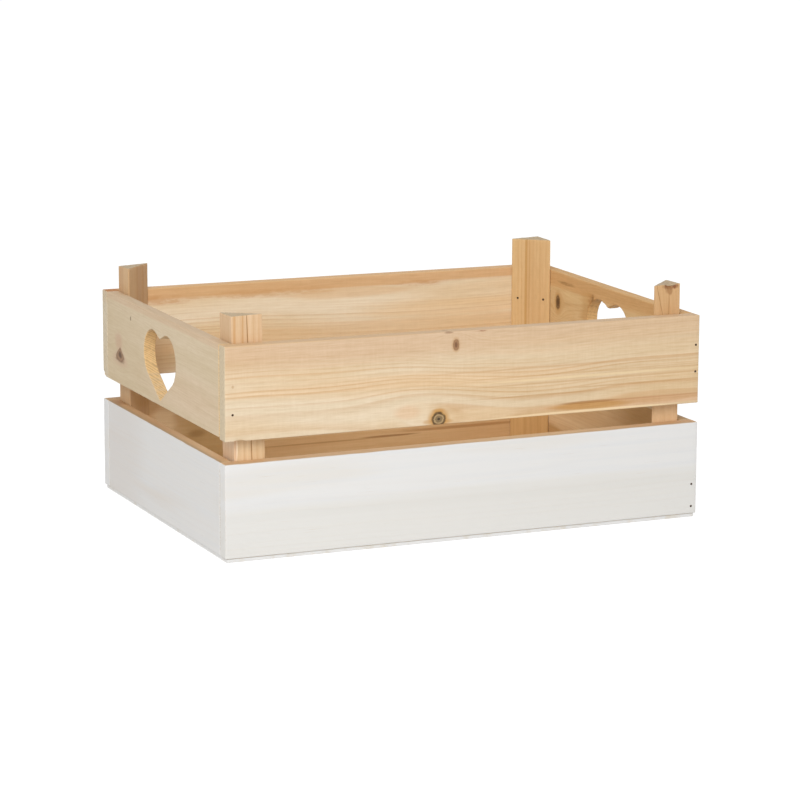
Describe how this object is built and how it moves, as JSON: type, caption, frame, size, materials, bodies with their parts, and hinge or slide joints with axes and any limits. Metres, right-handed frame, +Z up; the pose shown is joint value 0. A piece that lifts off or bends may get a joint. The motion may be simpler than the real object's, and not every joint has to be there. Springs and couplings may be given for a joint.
{
  "type": "kindling box",
  "caption": "Two-tier nailed pine crate for kindling, with triangular corner posts, an open gap between the tiers and heart-shaped hand holes in its ends.",
  "frame": {"origin": "on the floor, below the middle of the box", "axes": "+X along the length, -Y out of the front, +Z up"},
  "size_m": [0.4, 0.282, 0.1899],
  "materials": {
    "natural_pine": "bare planed softwood with knots and amber grain",
    "white_painted_pine": "thin matt white paint outside, bare softwood inside and on the edges",
    "post_pine": "bare sawn softwood",
    "panel_ply": "thin sheet, white on its edges",
    "brad_steel": "dull wire"
  },
  "bodies": {
    "root": {"back_lower_board": "white_painted_pine", "back_lower_brad_1": "brad_steel", "back_lower_brad_2": "brad_steel", "back_lower_brad_3": "brad_steel", "back_lower_brad_4": "brad_steel", "back_upper_board": "natural_pine", "back_upper_brad_1": "brad_steel", "back_upper_brad_2": "brad_steel", "back_upper_brad_3": "brad_steel", "back_upper_brad_4": "brad_steel", "bottom_panel": "panel_ply", "bottom_panel_brad_1": "brad_steel", "bottom_panel_brad_10": "brad_steel", "bottom_panel_brad_11": "brad_steel", "bottom_panel_brad_12": "brad_steel", "bottom_panel_brad_2": "brad_steel", "bottom_panel_brad_3": "brad_steel", "bottom_panel_brad_4": "brad_steel", "bottom_panel_brad_5": "brad_steel", "bottom_panel_brad_6": "brad_steel", "bottom_panel_brad_7": "brad_steel", "bottom_panel_brad_8": "brad_steel", "bottom_panel_brad_9": "brad_steel", "front_lower_board": "white_painted_pine", "front_lower_brad_1": "brad_steel", "front_lower_brad_2": "brad_steel", "front_lower_brad_3": "brad_steel", "front_lower_brad_4": "brad_steel", "front_upper_board": "natural_pine", "front_upper_brad_1": "brad_steel", "front_upper_brad_2": "brad_steel", "front_upper_brad_3": "brad_steel", "front_upper_brad_4": "brad_steel", "left_lower_board": "white_painted_pine", "left_upper_board": "natural_pine", "post_front_left": "post_pine", "post_front_left_brad_1": "brad_steel", "post_front_left_brad_2": "brad_steel", "post_front_left_brad_3": "brad_steel", "post_front_left_brad_4": "brad_steel", "post_front_right": "post_pine", "post_front_right_brad_1": "brad_steel", "post_front_right_brad_2": "brad_steel", "post_front_right_brad_3": "brad_steel", "post_front_right_brad_4": "brad_steel", "post_rear_left": "post_pine", "post_rear_left_brad_1": "brad_steel", "post_rear_left_brad_2": "brad_steel", "post_rear_left_brad_3": "brad_steel", "post_rear_left_brad_4": "brad_steel", "post_rear_right": "post_pine", "post_rear_right_brad_1": "brad_steel", "post_rear_right_brad_2": "brad_steel", "post_rear_right_brad_3": "brad_steel", "post_rear_right_brad_4": "brad_steel", "right_lower_board": "white_painted_pine", "right_upper_board": "natural_pine"}
  },
  "joints": []
}
